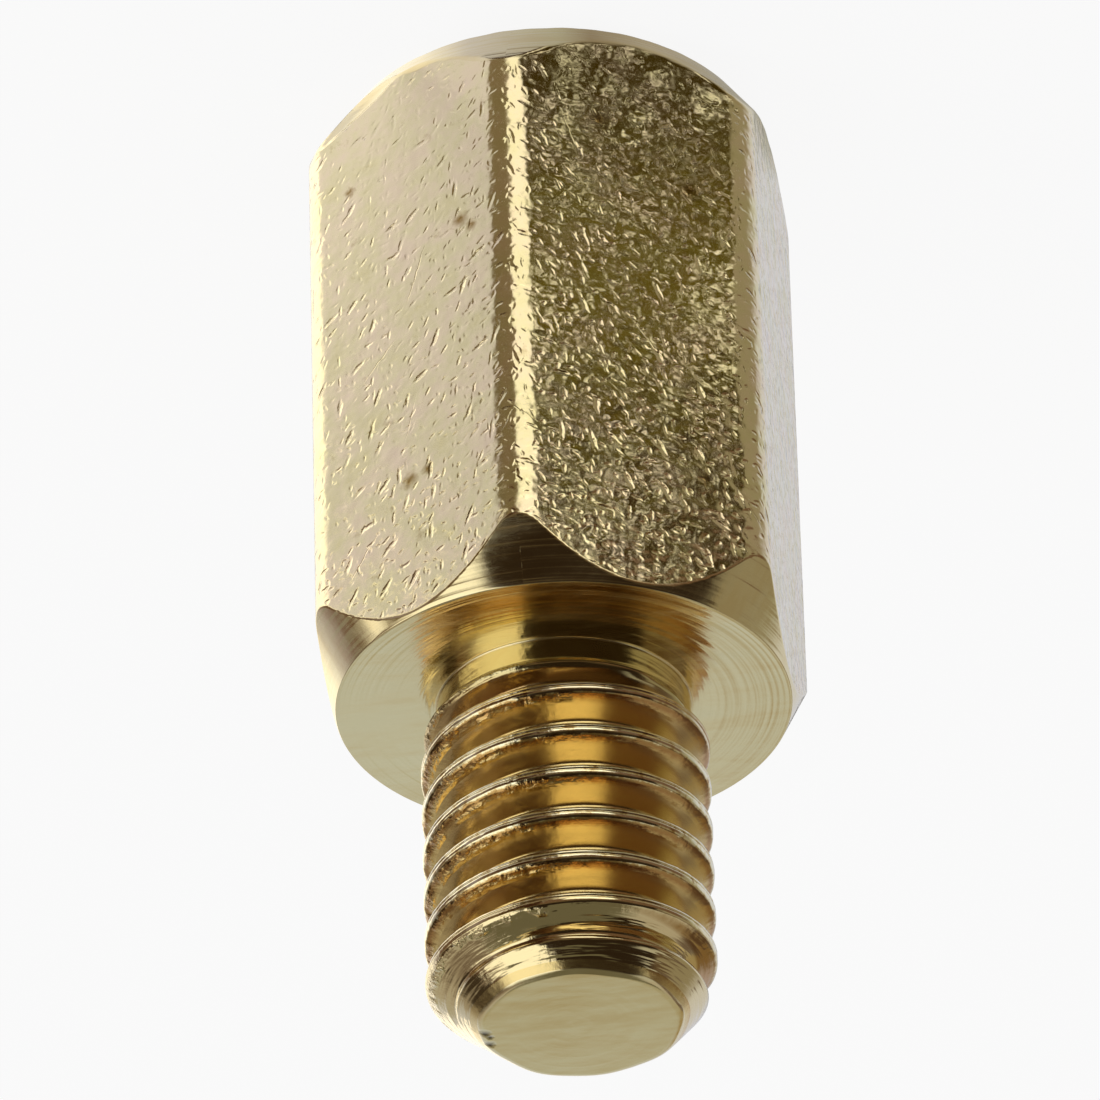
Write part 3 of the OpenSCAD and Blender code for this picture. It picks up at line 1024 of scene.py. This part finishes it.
def flat_tone(x, y):
    """Tones that the flats mirror: in front a bright gap between a brown card and a
    black one, and pale for the rest."""
    front, _ = seen_from(x, y, FRONT_FOOT)
    wedge = blend(
        front,
        (-134, BLACK), (-131, WHITE), (-88, WHITE), (-84, BROWN), (-30, BROWN), (-25, PALE),
    )
    left = blend(
        seen_from(x, y, LEFT_FOOT)[0],
        (-12, PALE), (-4, BRIGHT), (50, BRIGHT), (75, COOL), (140, COOL),
    )
    turn = np.mod(seen_from(x, y, RIGHT_FOOT)[0], 360)
    right = blend(turn, (96, COOL), (135, COOL), (165, SAND), (214, SAND), (218, BLACK))
    dark = (turn > 216) | (turn < 90)
    right = np.where(dark[..., None], blotches(x, y), right)
    side = np.where((x > 0)[..., None], left, right)
    inside = (front > -134) & (front < -25) & (y < FRONT_FOOT[1] + 0.5)
    # the left-hand card is a little lighter near its middle and close to the part
    turn, reach = seen_from(x, y, LEFT_MIDDLE)
    gain = np.interp(turn, [-60, -45, -21, -5, 20, 40], [1, 0.86, 1, 1.14, 1.14, 1])
    gain = np.where(x > 0, gain * np.interp(reach, [1.5, 9], [1.06, 0.96]), 1)
    return np.where(inside[..., None], wedge, side) * gain[..., None]


def ground_tone(x, y):
    """Tones of the card that the part stands on. Next to the part they are what the
    flats mirror. Further out the card is only seen by the stud: first by the crests of
    its thread, then by the grooves."""
    azimuth, reach = np.degrees(np.arctan2(y, x)), np.hypot(x, y)
    tones = over(flat_tone(x, y), under_tone(azimuth), 1 - fade_in(reach, UNDER_REACH - 0.1, 0.1))
    patch = (np.abs(azimuth + 90) < PATCH_SPREAD) & (reach > PATCH_NEAR) & (reach < PATCH_FAR)
    tones = np.where(patch[..., None], EMBER, tones)
    crests = blend(
        azimuth,
        (-180, UMBER), (-134, UMBER), (-131, SHINE), (-92, SHINE), (-88, UMBER),
        (-62, UMBER), (-57, WHITE), (-10, WHITE), (8, BRIGHT), (70, BRIGHT), (90, COOL),
        (135, COOL), (154, MOSS), (170, UMBER), (180, UMBER),
    )
    grooves = blend(
        azimuth,
        (-180, UMBER), (-138, UMBER), (-132, GLOW), (-93, GLOW), (-85, EMBER), (-60, EMBER),
        (-38, UMBER), (-25, MAUVE), (-14, CLAY), (-5, UMBER), (9, UMBER), (17, MAUVE),
        (26, PALE), (34, BRIGHT), (70, BRIGHT), (90, COOL), (142, COOL), (156, MOSS),
        (170, UMBER), (180, UMBER),
    )
    beyond = fade_in(reach, *BEYOND_REACH) * (np.abs(azimuth - BEYOND_AZIMUTH) < BEYOND_SPREAD)
    tones = over(tones, crests, fade_in(reach, *CREST_REACH))
    return over(tones, over(grooves, UMBER, beyond), fade_in(reach, *GROOVE_REACH))


def tent_tone(azimuth, height):
    """Tones of the light tent by azimuth and height in degrees: a key window to the
    left of the camera, a pale wall behind, dark where the camera stands."""
    turn = np.mod(azimuth + 180, 360) - 180
    low = blend(
        turn,
        (-180, SAND), (-174, SAND), (-168, DARK), (-30, BROWN), (-14, BROWN), (-9, WHITE),
        (-3, WHITE), (3, BROWN), (14, GREY), (60, COOL), (125, COOL), (140, SAND), (180, SAND),
    )
    band = blend(
        turn,
        (-180, RUST), (-170, DARK), (-66, DARK), (-61, KEY), (-26, KEY), (-12, TAUPE),
        (2, UMBER), (10, SOOT), (26, SOOT), (36, TAUPE), (45, STONE), (57, CHALK), (100, COOL),
        (113, GREY), (124, CLAY), (150, CLAY), (165, RUST), (180, RUST),
    )
    high = blend(
        turn,
        (-180, CHALK), (-172, CHALK), (-163, DARK), (-66, DARK), (-61, KEY), (4, KEY),
        (12, TAUPE), (22, CLAY), (33, TAUPE), (45, STONE), (57, CHALK), (100, COOL),
        (118, STONE), (150, STONE), (165, CHALK), (180, CHALK),
    )
    edge = np.where((turn > 130) | (turn < -174), 24, 10)
    roof = np.where(np.abs(turn - 88) < 34, 40, np.where(np.abs(turn + 3) < 11, 50, 60))
    tones = over(low, over(band, high, fade_in(height, 36, 4)), fade_in(height, edge, 5))
    return over(tones, OLIVE, fade_in(height, roof, 8))


def rear_tone(x, z):
    """Tones of the small card behind: cool on one side, warm on the other and above."""
    across = blend(x, (-3.0, REAR_WARM), (0.8, REAR_COOL))
    return over(across, REAR_ABOVE, fade_in(z, 17.5, 2.5))


def toned_sheet(name, points, tones, material, closed):
    """A curved card made from a grid of points in mm, with a tone at each point. It
    only shows in reflections."""
    rows, columns = points.shape[:2]
    faces = []
    for i in range(rows - 1):
        for j in range(columns if closed else columns - 1):
            near, next_near = i * columns + j, i * columns + (j + 1) % columns
            faces.append((near, next_near, next_near + columns, near + columns))
    mesh = bpy.data.meshes.new(name)
    mesh.from_pydata((points.reshape(-1, 3) * MM).tolist(), [], faces)
    layer = mesh.color_attributes.new("tone", "FLOAT_COLOR", "POINT")
    full = np.concatenate([tones.reshape(-1, 3), np.ones((rows * columns, 1))], 1)
    layer.data.foreach_set("color", full.astype(np.float32).ravel())
    mesh.materials.append(material)
    obj = new_object(name, mesh)
    for kind in ("camera", "diffuse", "shadow", "transmission", "volume_scatter"):
        setattr(obj, "visible_" + kind, False)


# --- the stage ---

FLOOR_REACH, FLOOR_DROP = 0.6, 0.02 * MM  # half the floor's side, and its depth
CARD_DROP = 0.01  # mm
CARD_RINGS = (  # radii in mm of the ground card's points, closest near the part
    np.arange(0, 6, 0.15),
    np.arange(6, 26, 0.25),
    np.geomspace(26, 150, 20),
)
TENT_RADIUS, TENT_FOOT, TENT_RINGS = 150, -0.5, 61  # mm, degrees, rings of points
REAR_HALF_WIDTH, REAR_LOW, REAR_HIGH, REAR_AWAY, REAR_POINTS = 9, 13, 26, 14.0, 25  # mm
LAMP_SIZE, LAMP_AWAY = 90 * MM, 160 * MM
LAMP_TURN, LAMP_LIFT = math.radians(-30), math.radians(50)
AIM = Vector((0.0973, -0.0158, 5.0695)) * MM  # the point that the camera looks at


def direction(turn, lift):
    """The unit vector at an azimuth and a height, in radians."""
    flat = math.cos(lift)
    return Vector((math.cos(turn) * flat, math.sin(turn) * flat, math.sin(lift)))


class STANDOFF_OT_stage(bpy.types.Operator):
    """Set the floor, the cards, the lights and the camera"""

    bl_idname = "standoff.stage"
    bl_label = "Set the stage"
    bl_options = {"REGISTER", "UNDO"}

    def execute(self, context):
        self.floor()
        self.cards()
        self.lights(context.scene)
        self.camera(context.scene)
        return {"FINISHED"}

    def floor(self):
        """A wide sheet of paper, just under the part."""
        mesh = bpy.data.meshes.new("floor")
        corners = [(-1, -1), (1, -1), (1, 1), (-1, 1)]
        verts = [(x * FLOOR_REACH, y * FLOOR_REACH, -FLOOR_DROP) for x, y in corners]
        mesh.from_pydata(verts, [], [(0, 1, 2, 3)])
        mesh.materials.append(floor_paper())
        new_object("floor", mesh)

    def cards(self):
        """Three cards that only the brass sees: one under and round the part, one over
        it like a light tent, and a small upright one behind it."""
        material = toned_card()
        turns = np.radians(np.arange(0, 360, 2.0))
        r, a = np.meshgrid(np.concatenate(CARD_RINGS), turns, indexing="ij")
        x, y = r * np.cos(a), r * np.sin(a)
        ground = np.stack([x, y, np.full_like(r, -CARD_DROP)], -1)
        toned_sheet("ground_card", ground, ground_tone(x, y), material, closed=True)

        lift = np.radians(np.linspace(TENT_FOOT, 90, TENT_RINGS))
        e, a = np.meshgrid(lift, turns, indexing="ij")
        tent = TENT_RADIUS * np.stack(
            [np.cos(e) * np.cos(a), np.cos(e) * np.sin(a), np.sin(e)], -1
        )
        tones = tent_tone(np.degrees(a), np.degrees(e))
        toned_sheet("light_tent", tent, tones, material, closed=True)

        across = np.linspace(-REAR_HALF_WIDTH, REAR_HALF_WIDTH, REAR_POINTS)
        heights = np.linspace(REAR_LOW, REAR_HIGH, REAR_POINTS)
        x, z = np.meshgrid(across, heights, indexing="ij")
        behind = np.stack([x, np.full_like(x, REAR_AWAY), z], -1)
        toned_sheet("rear_card", behind, rear_tone(x, z), material, closed=False)

    def lights(self, scene):
        """White surroundings, dimmer as light than to the eye, and a soft key lamp."""
        scene.world = bpy.data.worlds.new("studio")
        node = bare_nodes(scene.world)
        share = node(MULTIPLY_ADD, seen_rays(node), WORLD_SEEN, WORLD_LIGHT)
        light = node("ShaderNodeBackground", {"Color": linear("#FFFFFF"), "Strength": share})
        node("ShaderNodeOutputWorld", {"Surface": light})
        lamp = bpy.data.lights.new("key_lamp", "AREA")
        lamp.shape = "SQUARE"
        lamp.size = LAMP_SIZE
        lamp.energy = scene.standoff_stage.key_power
        key = new_object("key_lamp", lamp)
        key.location = direction(LAMP_TURN, LAMP_LIFT) * LAMP_AWAY
        key.rotation_euler = (-key.location).to_track_quat("-Z", "Y").to_euler()
        key.visible_glossy = False

    def camera(self, scene):
        """The camera, at the direction, distance and roll of the settings."""
        stage = scene.standoff_stage
        data = bpy.data.cameras.new("camera")
        data.lens = stage.lens
        data.sensor_width = 36.0
        data.clip_start, data.clip_end = 1 * MM, 3.0
        camera = new_object("camera", data)
        away = direction(stage.azimuth, stage.elevation)
        camera.location = AIM + away * stage.distance
        upright = (-away).to_track_quat("-Z", "Y").to_matrix().to_4x4()
        rolled = upright @ Matrix.Rotation(stage.roll, 4, "Z")
        camera.rotation_euler = rolled.to_euler()
        scene.camera = camera


# --- panel and registering ---


class STANDOFF_PT_panel(bpy.types.Panel):
    """Lists the standoff's settings and steps"""

    bl_label = "Hex standoff"
    bl_idname = "STANDOFF_PT_panel"
    bl_space_type = "VIEW_3D"
    bl_region_type = "UI"
    bl_category = "Standoff"

    def draw(self, context):
        for key, group in GROUPS.items():
            box = self.layout.box()
            box.label(text=key.removeprefix("standoff_").capitalize())
            for size in group.__annotations__:
                box.prop(getattr(context.scene, key), size)
        for step in (STANDOFF_OT_body, STANDOFF_OT_stage):
            self.layout.operator(step.bl_idname)


GROUPS = {
    "standoff_body": BodySizes,
    "standoff_stud": StudSizes,
    "standoff_finish": FinishSettings,
    "standoff_stage": StageSettings,
}
CLASSES = (*GROUPS.values(), STANDOFF_OT_body, STANDOFF_OT_stage, STANDOFF_PT_panel)


def register():
    for cls in CLASSES:
        bpy.utils.register_class(cls)
    for name, group in GROUPS.items():
        setattr(bpy.types.Scene, name, bpy.props.PointerProperty(type=group))


def unregister():
    for name in GROUPS:
        delattr(bpy.types.Scene, name)
    for cls in reversed(CLASSES):
        bpy.utils.unregister_class(cls)


def main():
    """Registers the add-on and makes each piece."""
    register()
    scene = bpy.context.scene
    scene.view_settings.view_transform = "Standard"
    bpy.ops.standoff.body()
    bpy.ops.standoff.stage()


if __name__ == "__main__":
    main()
